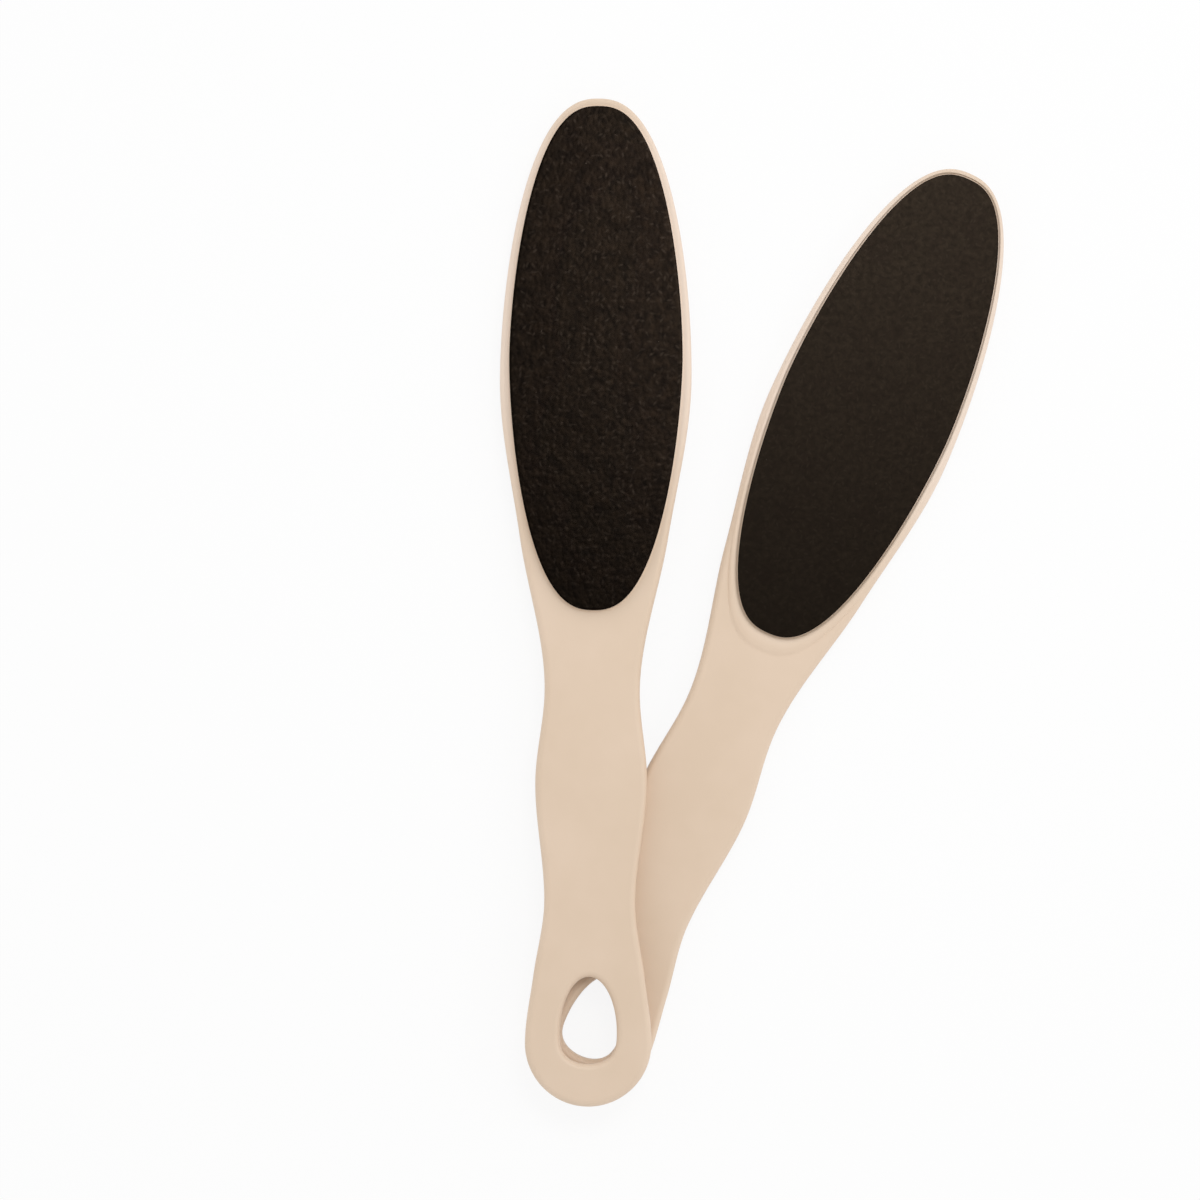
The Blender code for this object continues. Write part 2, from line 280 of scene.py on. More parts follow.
def inner_line(pad, grown):
    """Round the pad, down the middle line, and round the hole's seat."""
    oval = pad_line(pad, grown, head_share)
    start, stop = oval[-1, 1], hole_seat[0, 1]
    handle = np.column_stack([np.zeros(HANDLE_COLUMNS), start + (stop - start) * handle_share])
    return np.vstack([oval, handle, hole_seat[1:]])


print("hole in mm:", np.round(np.ptp(hole_edge[:, 1]) / MM, 2), "long",
      np.round(2 * HOLE_HALF_WIDTH / MM, 2), "wide")

# %% [markdown]
# ## The bezel
# Round the pad on the fine face the plastic swells into a low domed bezel, thin at the sides and
# broad below the pad, which hides the cut edge of the abrasive. It could be a tube laid on the
# face, but a swelling added to the height of the face has no seam. Every point outside the pad lies
# on one oval of a growing family, and the share of the way through that family gives the height.

# %% The height of the bezel anywhere on the face
PAD_CLEARANCE = 0.3 * MM
BEZEL_HEIGHT = 0.5 * MM
BEZEL_TIP_WIDTH = 0.6 * MM
BEZEL_SIDE_WIDTH = 1.1 * MM
BEZEL_HEEL_WIDTH = 3.8 * MM
BEZEL_SOFTNESS_POWER = 1.25
FAMILY_LOW, FAMILY_HIGH = -1.0, 4.0
HALVINGS = 40


def bezel_share(x, y):
    """The share s at which the oval of half width (pad + gap + s times the side width) and half
    length (pad + gap + s times the tip or heel width) passes through the point, by halving."""
    pad_at, half_length = FINE_PAD
    along = -y - pad_at
    end_width = np.where(along < 0, BEZEL_TIP_WIDTH, BEZEL_HEEL_WIDTH)
    low = np.full(x.shape, FAMILY_LOW)
    high = np.full(x.shape, FAMILY_HIGH)
    for _ in range(HALVINGS):
        s = (low + high) / 2
        wide = PAD_HALF_WIDTH + PAD_CLEARANCE + s * BEZEL_SIDE_WIDTH
        long = half_length + PAD_CLEARANCE + s * end_width
        outside = (np.abs(x / wide) ** PAD_ACROSS_POWER
                   + np.abs(along / long) ** PAD_ALONG_POWER) > 1
        low = np.where(outside, s, low)
        high = np.where(outside, high, s)
    return s


def bezel_rise(x, y):
    """A dome over the shares from 0 to 1: a half circle's height, softened at its feet."""
    s = np.clip(bezel_share(x, y), 0, 1)
    return BEZEL_HEIGHT * (2 * np.sqrt(s * (1 - s))) ** BEZEL_SOFTNESS_POWER


crest_at = sum(FINE_PAD) + PAD_CLEARANCE + BEZEL_HEEL_WIDTH / 2
crest = bezel_rise(np.array([0.0]), np.array([-crest_at]))
print("bezel crest below the pad in mm:", np.round(crest / MM, 3))

# %% [markdown]
# ## One face of the moulding
# A face starts at the side wall, turns over the rounded edge and runs in to its inner line. The
# rounded edge is a quarter circle carried along the outline, so its rows are true offsets of it.
# Where the pad comes very near the edge, those rows are squeezed to fit.

# %% The rows of a face
ROUND_ROWS = 9
RIM_ROWS = 30
RIM_CROWDING = 1.35
SQUEEZE_SHARE = 0.8
BEZEL_FADE = 0.4 * MM


def smooth_step(t):
    """Three t squared less two t cubed, between 0 and 1."""
    t = np.clip(t, 0, 1)
    return t * t * (3 - 2 * t)


def face_rows(inner, bezel):
    """A grid of points, rows by columns: first the rounded edge at depths of one less the cosine,
    then straight runs to the inner line. The height is that of a quarter circle, eased up to the
    face, plus the bezel."""
    room = np.linalg.norm(inner - outline, axis=1)
    squeeze = np.minimum(1, SQUEEZE_SHARE * room / EDGE_ROUND)
    quarter = np.linspace(0, math.pi / 2, ROUND_ROWS + 1)[:, None]
    depth = EDGE_ROUND * (1 - np.cos(quarter)) * squeeze
    rim = outline + depth[..., None] * outline_inwards
    rim[:, [0, -1], 0] = 0
    rim_height = FACE - EDGE_ROUND + np.sqrt(EDGE_ROUND ** 2 - (EDGE_ROUND - depth) ** 2)

    share = 1 - (1 - np.linspace(0, 1, RIM_ROWS + 1)[1:, None]) ** RIM_CROWDING
    run = rim[-1] + share[..., None] * (inner - rim[-1])
    run_height = rim_height[-1] + smooth_step(share) * (FACE - rim_height[-1])

    plan = np.concatenate([rim, run])
    height = np.concatenate([rim_height, run_height])
    if bezel:
        near_edge = np.concatenate([depth / BEZEL_FADE, np.ones_like(run_height)])
        height = height + bezel_rise(plan[..., 0], plan[..., 1]) * smooth_step(near_edge)
    return np.dstack([plan, height])


fine_face = face_rows(inner_line(FINE_PAD, 0), bezel=True)
print("fine face:", fine_face.shape[0], "rows by", fine_face.shape[1], "columns")

# %% [markdown]
# ## The bed under the coarse pad
# On the other face the pad stands on a low bed a little larger than itself. Its side is a short
# wall with a small rounded top, carried round the oval. In the photo the bed is a thin light line
# at the pad's edge and a soft shadow below it.

# %% The coarse face with its bed
BED_MARGIN = 0.25 * MM
BED_ROUND = 0.12 * MM
BED_ROUND_ROWS = 4

bed_foot = pad_line(COARSE_PAD, BED_MARGIN, head_share)
bed_inwards = inwards(bed_foot)


def bed_rows():
    """The bed's profile along its foot line: straight up, then a quarter circle inwards."""
    quarter = np.linspace(0, math.pi / 2, BED_ROUND_ROWS + 1)[:, None]
    depth = np.vstack([[0], BED_ROUND * (1 - np.cos(quarter))])
    rise = np.vstack([[0], BED_HEIGHT - BED_ROUND + BED_ROUND * np.sin(quarter)])
    plan = bed_foot + depth[..., None] * bed_inwards
    plan[:, [0, -1], 0] = 0
    height = np.broadcast_to(FACE + rise, plan.shape[:2])
    return np.dstack([plan, height])


def turned_over(grid):
    """The same grid on the coarse face: its height is counted downwards."""
    return grid * np.array([1, 1, -1])


coarse_face = turned_over(face_rows(inner_line(COARSE_PAD, BED_MARGIN), bezel=False))
bed_side = turned_over(bed_rows())
print("bed top in mm:", np.round(bed_side[-1, 0, 2] / MM, 3))

# %% [markdown]
# ## Walls, seats and the hole
# Between the two faces runs the side wall, with the faint raised line where the two halves of the
# mould met. The hole's wall turns out into both faces. Under each pad a flat seat closes the
# surface: straight runs from the oval to the middle line, which the pad hides.

# %% The remaining strips
PARTING_LINE_HEIGHT = 0.04 * MM
PARTING_LINE_HALF_WIDTH = 0.12 * MM
HOLE_WALL_ROWS = 3
SEAT_SHARES = np.array([1.0, 0.8, 0.4, 0.0])[:, None]


def side_wall():
    """Down from the fine edge to the coarse one, standing out a little at the mid-plane."""
    wall_top = FACE - EDGE_ROUND
    heights = np.array([wall_top, PARTING_LINE_HALF_WIDTH, 0, -PARTING_LINE_HALF_WIDTH, -wall_top])
    stand_out = np.array([0, 0, PARTING_LINE_HEIGHT, 0, 0])[:, None, None]
    plan = outline - stand_out * outline_inwards
    plan[:, [0, -1], 0] = 0
    return np.dstack([plan, np.broadcast_to(heights[:, None], plan.shape[:2])])


def hole_wall():
    """From the fine face over a quarter circle, down the wall, and out into the coarse face."""
    quarter = np.linspace(0, math.pi / 2, ROUND_ROWS + 1)
    upper_depth = EDGE_ROUND * (1 - np.sin(quarter))
    upper_height = FACE - EDGE_ROUND + EDGE_ROUND * np.cos(quarter)
    straight = np.linspace(upper_height[-1], -upper_height[-1], HOLE_WALL_ROWS + 1)[1:-1]
    depth = np.concatenate([upper_depth, np.zeros(len(straight)), upper_depth[::-1]])
    height = np.concatenate([upper_height, straight, -upper_height[::-1]])
    plan = hole_edge - depth[:, None, None] * hole_inwards
    plan[0] = hole_seat
    plan[-1] = hole_seat
    plan[:, [0, -1], 0] = 0
    return np.dstack([plan, np.broadcast_to(height[:, None], plan.shape[:2])])


def seat(rim):
    """Straight runs from a rim's points to the middle line at the same height."""
    x = rim[:, 0] * SEAT_SHARES
    rest = np.broadcast_to(rim[:, 1:], (len(SEAT_SHARES), len(rim), 2))
    return np.dstack([x, rest])


fine_seat = seat(fine_face[-1, :HEAD_COLUMNS + 1])
coarse_seat = seat(bed_side[-1])
half_moulding = [fine_face, coarse_face, bed_side, side_wall(), hole_wall(), fine_seat, coarse_seat]
print("strips in half a moulding:", len(half_moulding))

# %% [markdown]
# ## From grids to a mesh
# Each strip is a grid of points, and its faces join neighbours by number. The left half is
# mirrored for the right one, and points that coincide are merged, so the surface closes along the
# middle line, at the tip and at the end. Mirroring turns faces inside out, so the normals are
# worked out afresh after the merge.

# %% Mesh helpers
MERGE_DISTANCE = 0.5e-3 * MM
SHARP_ANGLE = math.radians(40)


def grid_faces(rows, columns, first):
    """Quads between neighbours of a grid whose points are numbered from first, row by row."""
    corner = first + np.arange(rows * columns).reshape(rows, columns)[:-1, :-1]
    return np.stack([corner, corner + 1, corner + columns + 1, corner + columns], -1).reshape(-1, 4)


def mesh_of(name, grids, attribute=None):
    """A mesh from grids of points, with one value for each point if an attribute is given."""
    sizes = [grid.shape[0] * grid.shape[1] for grid in grids]
    firsts = np.cumsum([0] + sizes[:-1])
    faces = np.concatenate([
        grid_faces(grid.shape[0], grid.shape[1], first) for grid, first in zip(grids, firsts)])
    points = np.concatenate([grid.reshape(-1, 3) for grid in grids])
    mesh = bpy.data.meshes.new(name)
    mesh.vertices.add(len(points))
    mesh.vertices.foreach_set("co", points.astype(np.float32).ravel())
    mesh.loops.add(faces.size)
    mesh.loops.foreach_set("vertex_index", faces.astype(np.int32).ravel())
    mesh.polygons.add(len(faces))
    mesh.polygons.foreach_set("loop_start", np.arange(0, faces.size, 4, dtype=np.int32))
    if attribute:
        layer = mesh.attributes.new(attribute[0], "FLOAT", "POINT")
        layer.data.foreach_set("value", attribute[1].astype(np.float32))
    mesh.update(calc_edges=True)
    return mesh


def closed(mesh, smooth=True):
    """Merges points that coincide, turns every face outwards and sets the shading."""
    form = bmesh.new()
    form.from_mesh(mesh)
    bmesh.ops.remove_doubles(form, verts=form.verts, dist=MERGE_DISTANCE)
    bmesh.ops.recalc_face_normals(form, faces=form.faces)
    open_edges = sum(not edge.is_manifold for edge in form.edges)
    form.to_mesh(mesh)
    form.free()
    if smooth:
        mesh.shade_smooth()
        mesh.set_sharp_from_angle(angle=SHARP_ANGLE)
    print(f"{mesh.name}: {len(mesh.polygons)} faces, {open_edges} open edges")
    return mesh


def laid(grid, place):
    """A grid of the file's own frame, laid where the file lies."""
    turn, origin = place
    return grid @ turn.T + origin


def add_piece(name, mesh, body, node, material):
    """A finished piece that rides on a body, stands for a node and has a material slot."""
    piece = bpy.data.objects.new(name, mesh)
    bpy.context.scene.collection.objects.link(piece)
    mesh.materials.append(material)
    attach(piece, body)
    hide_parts(node)
    return piece


MIRROR = np.array([-1, 1, 1])
whole_moulding = half_moulding + [grid * MIRROR for grid in half_moulding]
print("grids in a whole moulding:", len(whole_moulding))

# %% [markdown]
# ## Small helpers for materials
# Each finish is a few nodes, so a helper that adds a node and fills its inputs keeps cells short.
# Two effects serve more than one finish, and so are node groups: an uneven skin, for every finish
# but the floor's, and the colours of a grain coat, for both grits.

# %% Node helpers
def fill(tree, node, inputs):
    """Gives each named input of a node its value, or a link where that is another node's output."""
    for name, value in inputs.items():
        if isinstance(value, bpy.types.NodeSocket):
            tree.links.new(value, node.inputs[name])
        else:
            node.inputs[name].default_value = value
    return node


def add_node(tree, kind, inputs=None, **settings):
    """A node of one kind, with its properties set and its inputs filled."""
    node = tree.nodes.new(kind)
    for name, value in settings.items():
        setattr(node, name, value)
    return fill(tree, node, inputs or {})


def add_math(tree, operation, *values, **settings):
    """The result of a Math node. Each value is a number or another node's output."""
    inputs = dict(enumerate(values))
    return add_node(tree, "ShaderNodeMath", inputs, operation=operation, **settings).outputs[0]


def add_vector_math(tree, operation, *values):
    """The vector that a Vector Math node gives."""
    inputs = dict(enumerate(values))
    return add_node(tree, "ShaderNodeVectorMath", inputs, operation=operation).outputs["Vector"]


def add_mix(tree, factor, first, second):
    """The first colour where the factor is 0, and the second where it is 1."""
    inputs = {"Factor": factor, 6: first, 7: second}
    return add_node(tree, "ShaderNodeMix", inputs, data_type="RGBA").outputs[2]


def add_band(tree, value, start, end):
    """Nought where a value has not yet reached the start, one from the end on."""
    inputs = {"Value": value, "From Min": start, "From Max": end}
    return add_node(tree, "ShaderNodeMapRange", inputs).outputs["Result"]


def new_material(name):
    """A material that holds only its output, its shader and its object coordinates."""
    material = bpy.data.materials.new(name)
    material.use_nodes = True
    tree = material.node_tree
    shader = tree.nodes["Principled BSDF"]
    coordinates = add_node(tree, "ShaderNodeTexCoord")
    return material, tree, shader, coordinates.outputs["Object"]


def linear(red, green, blue):
    """A screen colour of 0 to 255 as the linear colour that a shader takes."""
    screen = np.array([red, green, blue]) / 255
    low = screen / 12.92
    high = ((screen + 0.055) / 1.055) ** 2.4
    return (*np.where(screen <= 0.04045, low, high), 1.0)


print("cream in linear light:", np.round(linear(225, 201, 180), 3))

# %% [markdown]
# ## An uneven skin
# No moulded, coated or pulped surface is quite even. Its tone drifts over a centimetre or so, and
# its skin has a fine texture that only shows as a softened highlight. One group gives both: a slow
# noise to mix two near colours by, and a quick noise for a Bump node.

# %% The uneven skin group
NOISE_ROUGHNESS = 0.55


def add_noise(tree, vector, size, detail, distortion=0.0):
    """Noise whose features have the given size in metres."""
    return add_node(tree, "ShaderNodeTexNoise", {
        "Vector": vector, "Scale": add_math(tree, "DIVIDE", 1.0, size), "Detail": detail,
        "Roughness": NOISE_ROUGHNESS, "Distortion": distortion}).outputs["Fac"]


def uneven_skin_group():
    """Drift: noise over a patch. Texture: noise over a grain. Both are sized in metres."""
    group = bpy.data.node_groups.new("uneven skin", "ShaderNodeTree")
    face = group.interface
    face.new_socket(name="Vector", in_out="INPUT", socket_type="NodeSocketVector")
    face.new_socket(name="Patch size", in_out="INPUT", socket_type="NodeSocketFloat")
    face.new_socket(name="Grain size", in_out="INPUT", socket_type="NodeSocketFloat")
    face.new_socket(name="Drift", in_out="OUTPUT", socket_type="NodeSocketFloat")
    face.new_socket(name="Texture", in_out="OUTPUT", socket_type="NodeSocketFloat")
    entry = add_node(group, "NodeGroupInput").outputs
    add_node(group, "NodeGroupOutput", {
        "Drift": add_noise(group, entry["Vector"], entry["Patch size"], detail=3.0),
        "Texture": add_noise(group, entry["Vector"], entry["Grain size"], detail=2.0)})
    return group


uneven_skin = uneven_skin_group()


def add_uneven_skin(tree, vector, patch_size, grain_size):
    """The group's drift and texture in a material, with that material's own sizes."""
    inputs = {"Vector": vector, "Patch size": patch_size, "Grain size": grain_size}
    return add_node(tree, "ShaderNodeGroup", inputs, node_tree=uneven_skin).outputs


def ramp(tree, value, first, last):
    """A colour ramp between two stops, each a place and a colour."""
    node = add_node(tree, "ShaderNodeValToRGB", {"Fac": value})
    for element, stop in zip(node.color_ramp.elements, (first, last)):
        element.position, element.color = stop
    return node.outputs["Color"]


def bump(tree, height, distance):
    """A Bump node at full strength that reads a height and gives a normal."""
    inputs = {"Height": height, "Distance": distance}
    return add_node(tree, "ShaderNodeBump", inputs).outputs["Normal"]


print("group sockets:", [item.name for item in uneven_skin.interface.items_tree])

# %% [markdown]
# ## Cream plastic
# The moulding is a warm cream plastic with a satin skin, solid in colour all the way through. Its
# tone is nearly even. A few dark specks of burnt resin, less than half a millimetre across, lie in
# it as they do in most pale mouldings. Gloss comes from a middling roughness that drifts a little.
# The thin rims beside the pads look paler and less yellow than the handle. That paleness is painted
# light: a paler colour that stands in for the light the thin plastic lets through and the highlight
# on the rims. Each point carries its share of that, because the two files lie turned differently.

# %% The plastic
CREAM_LIGHT = linear(228, 205, 182)
CREAM_DEEP = linear(224, 201, 177)
# Painted light: a paler cream standing in for light through the thin rims and their highlight
CREAM_PAINTED_RIM_LIGHT = linear(237, 217, 199)
SPECK_BROWN = linear(150, 116, 92)
SPECK_CELLS_TO_METRE = 60.0
SPECK_RADIUS_SHARE = 0.013
SPECKED_CELLS_SHARE = 0.09

# Distances from the tip for the painted rim light: the rim is cream, is all pale, and starts to
# turn back to cream
PALE_FROM = 96 * MM
PALE_FULL = 57 * MM
PALE_TO = 14 * MM


def rim_painted_light(grids):
    """Painted rim light: nought on the handle and at the tip, one beside the pad. It is the product
    of two smooth steps.
    """
    place = -np.concatenate([grid[..., 1].ravel() for grid in grids])
    return smooth_step((PALE_FROM - place) / (PALE_FROM - PALE_FULL)) * smooth_step(place / PALE_TO)


def speck_mask(tree, vector):
    """One where a cell point of a coarse Voronoi pattern is very near, and only in rare cells."""
    inputs = {"Vector": vector, "Scale": SPECK_CELLS_TO_METRE}
    cells = add_node(tree, "ShaderNodeTexVoronoi", inputs).outputs
    chance = add_node(tree, "ShaderNodeSeparateColor", {0: cells["Color"]}).outputs
    near = add_math(tree, "LESS_THAN", cells["Distance"], SPECK_RADIUS_SHARE)
    rare = add_math(tree, "LESS_THAN", chance[0], SPECKED_CELLS_SHARE)
    return add_math(tree, "MULTIPLY", near, rare)


def cream_plastic():
    """Satin cream, paler by each point's share of painted rim light, with rare specks."""
    material, tree, shader, vector = new_material("cream_plastic")
    drift, texture = add_uneven_skin(tree, vector, patch_size=18 * MM, grain_size=0.22 * MM)
    painted_rim_light_share = add_node(tree, "ShaderNodeAttribute", attribute_name="rim_painted_light").outputs["Fac"]
    tone = ramp(tree, drift, (0.35, CREAM_DEEP), (0.65, CREAM_LIGHT))
    # Painted light: each point is mixed towards the paler rim cream by its share
    tone_with_painted_rim_light = add_mix(tree, painted_rim_light_share, tone, CREAM_PAINTED_RIM_LIGHT)
    gloss = add_node(tree, "ShaderNodeMapRange", {"Value": drift, "To Min": 0.40, "To Max": 0.48})
    fill(tree, shader, {
        "Base Color": add_mix(tree, speck_mask(tree, vector), tone_with_painted_rim_light, SPECK_BROWN),
        "Roughness": gloss.outputs["Result"],
        "Normal": bump(tree, texture, distance=0.004 * MM),
        "Specular IOR Level": 0.4})
    return material


plastic = cream_plastic()
print("made", plastic.name)

# %% [markdown]
# ## The two mouldings
# The two files come out of one mould, so the same strips are laid in both places. The surface
# between them is left open nowhere, which the count of open edges shows.

# %% The two mouldings
for name, place in places.items():
    # Each point carries its share of painted rim light as an attribute
    mesh = mesh_of(f"{name}_moulding", [laid(grid, place) for grid in whole_moulding],
                   ("rim_painted_light", rim_painted_light(whole_moulding)))
    add_piece(f"{name}_moulding", closed(mesh), f"{name}_file", f"{name}_body",
              plastic)

# %% [markdown]
# ## Grain
# An abrasive coat is a crowd of hard grains held in resin. Under a lens it is domes and pits, with
# no two grains alike. A bump map alone would leave the pad's edge and the glints flat, so the grain
# is real relief. Points are strewn on a loose lattice, and the surface is the highest of the domes
# that stand on them. Two sizes of dome are added: clusters, and the grains in them.

# %% A field of grains
SMALLEST_DOME, DOME_SPREAD = 0.55, 0.45
SPARE_CELLS = 4


def grain_field(x, y, cell, seed):
    """Height from 0 to 1 and a tone from 0 to 1. A lattice of the given cell has one grain in each
    cell, moved at random within it. A grain is a dome, one less the squared distance in cells,
    times its own size, and the highest dome near a point gives its height and tone. A few spare
    cells each way give the points at the border their neighbours."""
    columns = int(np.ptp(x) / cell) + SPARE_CELLS
    rows = int(np.ptp(y) / cell) + SPARE_CELLS
    random = np.random.default_rng(seed)
    shift_x, shift_y, size, tone = random.random((4, rows, columns))
    u = (x - x.min()) / cell + 1
    v = (y - y.min()) / cell + 1
    best = np.full(x.shape, -1.0)
    best_tone = np.zeros(x.shape)
    for down in (-1, 0, 1):
        for right in (-1, 0, 1):
            i = np.floor(v).astype(int) + down
            j = np.floor(u).astype(int) + right
            away = (u - j - shift_x[i, j]) ** 2 + (v - i - shift_y[i, j]) ** 2
            dome = (SMALLEST_DOME + DOME_SPREAD * size[i, j]) * (1 - away)
            best_tone = np.where(dome > best, tone[i, j], best_tone)
            best = np.maximum(best, dome)
    return np.clip(best, 0, 1), best_tone


sample = np.meshgrid(np.linspace(0, 5 * MM, 60), np.linspace(0, 5 * MM, 60))
print("mean grain height:", np.round(grain_field(*sample, 0.4 * MM, 1)[0].mean(), 3))

# %% [markdown]
# ## A coat of grit
# The coat is a grid over the oval: rows along it and, in each row, points across it. The rows
# crowd at the two ends, so that the oval stays round there. Grain tips reach the height that the
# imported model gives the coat, and everything else lies below them. A side and a flat underside
# close it.

# %% The grids of a coat
COAT_ROWS = 500
COAT_COLUMNS = 180
END_EASE_SHARE = 0.02
FIRST_STEP_SHARE = END_EASE_SHARE / 40
EDGE_WEAR = 0.5 * MM


def row_shares(count):
    """Shares from 0 to 1 whose steps shrink near both ends. Each step is a product of two
    hyperbolic tangents, one for either end."""
    t = np.linspace(0, 1, count)
    step = np.tanh((t + FIRST_STEP_SHARE) / END_EASE_SHARE) * np.tanh(
        (1 - t + FIRST_STEP_SHARE) / END_EASE_SHARE)
    share = np.concatenate([[0], np.cumsum(step)])
    return share / share[-1]


def coat_grids(pad, low, high, sizes, depths, seed):
    """Three grids, relief, side and underside, and the tone of each of their points. The relief
    is the coat's height less a share of its depth for every field of grains."""
    left = pad_line(pad, 0, row_shares(COAT_ROWS - 1))
    across = np.linspace(1, -1, COAT_COLUMNS)
    x = left[:, :1] * across
    y = np.broadcast_to(left[:, 1:], x.shape)
    fields = [grain_field(x, y, size, seed + k) for k, size in enumerate(sizes)]
    pits = sum(depth * (1 - height) for (height, _), depth in zip(fields, depths))
    tone = np.mean([tone for _, tone in fields], axis=0)
    pad_at, half_length = pad
    to_edge = np.minimum(np.abs(left[:, :1]) - np.abs(x), half_length - np.abs(y + pad_at))
    worn = depths[0] * (1 - smooth_step(to_edge / EDGE_WEAR))
    relief = np.dstack([x, y, high - np.sign(high - low) * (pits + worn)])
    edge = np.concatenate([relief[:, 0], relief[::-1, -1]])
    foot = edge * [1, 1, 0] + [0, 0, low]
    side = np.stack([edge, foot])
    underside = np.stack([relief[:, 0], relief[:, -1]]) * [1, 1, 0] + [0, 0, low]
    tones = np.concatenate([tone.ravel(), np.full(side[..., 0].size + underside[..., 0].size, 0.5)])
    return [relief, side, underside], tones


print("points in a coat's relief:", COAT_ROWS * COAT_COLUMNS)

# %% [markdown]
# ## Painted glints in the grain
# Splinters of mineral lie flat in the resin and catch the light as short pale strokes, each turned
# its own way. They are too many and too thin to model, so these glints are painted into the colour.
# A noise would give blots, and a wave texture would turn them all one way. A Voronoi pattern gives
# each painted stroke a cell, and the cell's random colour gives it an angle and a strength.

# %% Painted glints in the grain
STROKE_SQUEEZE = (1.0, 2.4, 1.0)
STROKE_EDGE_AT, STROKE_CORE_AT = 0.55, 0.15
NO_STROKE_SHARE = 0.2


def add_painted_stroke_glints(group, vector, size):
    """A flat Voronoi pattern of the given cell size, for painted glints. In each cell the way from
    its point is turned by the cell's own angle and squeezed across, and where its length is small
    there is a painted stroke glint. A stroke is stronger or weaker by another random value of its
    cell."""
    flat = add_vector_math(group, "MULTIPLY", vector, (1, 1, 0))
    inputs = {0: flat, "Scale": add_math(group, "DIVIDE", 1.0, size)}
    scaled = add_node(group, "ShaderNodeVectorMath", inputs, operation="SCALE").outputs["Vector"]
    inputs = {"Vector": scaled, "Scale": 1.0}
    cells = add_node(group, "ShaderNodeTexVoronoi", inputs, voronoi_dimensions="2D").outputs
    chance = add_node(group, "ShaderNodeSeparateColor", {0: cells["Color"]}).outputs
    away = add_vector_math(group, "SUBTRACT", scaled, cells["Position"])
    inputs = {"Vector": away, "Angle": add_math(group, "MULTIPLY", chance[0], 2 * math.pi)}
    turned = add_node(group, "ShaderNodeVectorRotate", inputs, rotation_type="Z_AXIS").outputs[0]
    squeezed = add_vector_math(group, "MULTIPLY", turned, STROKE_SQUEEZE)
    length = add_node(group, "ShaderNodeVectorMath", {0: squeezed}, operation="LENGTH")
    inside = add_band(group, length.outputs["Value"], STROKE_EDGE_AT, STROKE_CORE_AT)
    strength = add_band(group, chance[1], NO_STROKE_SHARE, 1.0)
    return add_math(group, "MULTIPLY", inside, strength)


print("a stroke is", STROKE_SQUEEZE[1], "times as long as wide")

# %% [markdown]
# ## The grain's colours
# Both coats are near black with a warm brown cast: dark mineral in a tinted resin, which has the
# dark lustre of its own colour. Two noises mix near browns, one slow and one quick, and where the
# quick one is low the colour darkens to a pit brown, painted shade of the hollows between grains.
# The painted stroke glints lie over them. Here and there one grain turns a pale facet up, and its
# glint is painted as a pale colour. The tone that each grain gets with its relief picks those, so
# that colour and shape agree. Both grits share this group.

# %% The grain colours group
# The pit colour is painted shade, and the stroke and pale colours are painted glints
GRAIN_INPUTS = {
    "Vector": "NodeSocketVector", "Tone": "NodeSocketFloat", "Clump size": "NodeSocketFloat",
    "Patch size": "NodeSocketFloat", "Stroke size": "NodeSocketFloat",
    "Pale from": "NodeSocketFloat", "Painted pit shade": "NodeSocketColor", "Clump": "NodeSocketColor",
    "Patch": "NodeSocketColor", "Painted stroke glint": "NodeSocketColor", "Painted pale glint": "NodeSocketColor",
}
CLUMP_BAND = (0.30, 0.70)
PATCH_BAND = (0.48, 0.66)
PIT_LUSTRE = 0.7


def add_clumps(group, vector, size, band):
    """Noise of the given size, with a band of its values stretched to run from 0 to 1."""
    return add_band(group, add_noise(group, vector, size, detail=2.0, distortion=0.4), *band)


def grain_colours_and_painted_light_group():
    """Colour: pits and clumps, patches of a second brown, strokes and pale grains. The pit brown is
    painted shade, and the strokes and pale grains are painted glints. Lustre: one, less in the pits
    and nought on pale grains."""
    group = bpy.data.node_groups.new("grain colours and painted light", "ShaderNodeTree")
    for name, kind in GRAIN_INPUTS.items():
        group.interface.new_socket(name=name, in_out="INPUT", socket_type=kind)
    group.interface.new_socket(name="Colour", in_out="OUTPUT", socket_type="NodeSocketColor")
    group.interface.new_socket(name="Lustre", in_out="OUTPUT", socket_type="NodeSocketFloat")
    entry = add_node(group, "NodeGroupInput").outputs
    clump = add_clumps(group, entry["Vector"], entry["Clump size"], CLUMP_BAND)
    patch = add_clumps(group, entry["Vector"], entry["Patch size"], PATCH_BAND)
    # Painted glints: pale strokes that stand in for splinters catching the light
    stroke = add_painted_stroke_glints(group, entry["Vector"], entry["Stroke size"])
    # Painted glints: grains whose tone passes a threshold take the pale colour
    pale = add_math(group, "GREATER_THAN", entry["Tone"], entry["Pale from"])
    brown = add_mix(group, patch, entry["Clump"], entry["Patch"])
    # Painted shade: where the quick noise is low the colour darkens to the pit brown
    with_painted_pit_shade = add_mix(group, clump, entry["Painted pit shade"], brown)
    # Painted glints: the strokes are laid over the browns in the base colour
    with_painted_stroke_glints = add_mix(group, stroke, with_painted_pit_shade, entry["Painted stroke glint"])
    shine = add_node(group, "ShaderNodeMapRange", {"Value": clump, "To Min": PIT_LUSTRE})
    add_node(group, "NodeGroupOutput", {
        "Colour": add_mix(group, pale, with_painted_stroke_glints, entry["Painted pale glint"]),
        "Lustre": add_math(group, "SUBTRACT", shine.outputs["Result"], pale, use_clamp=True)})
    return group


grain_colours_and_painted_light = grain_colours_and_painted_light_group()
print("grain group inputs:", ", ".join(GRAIN_INPUTS))

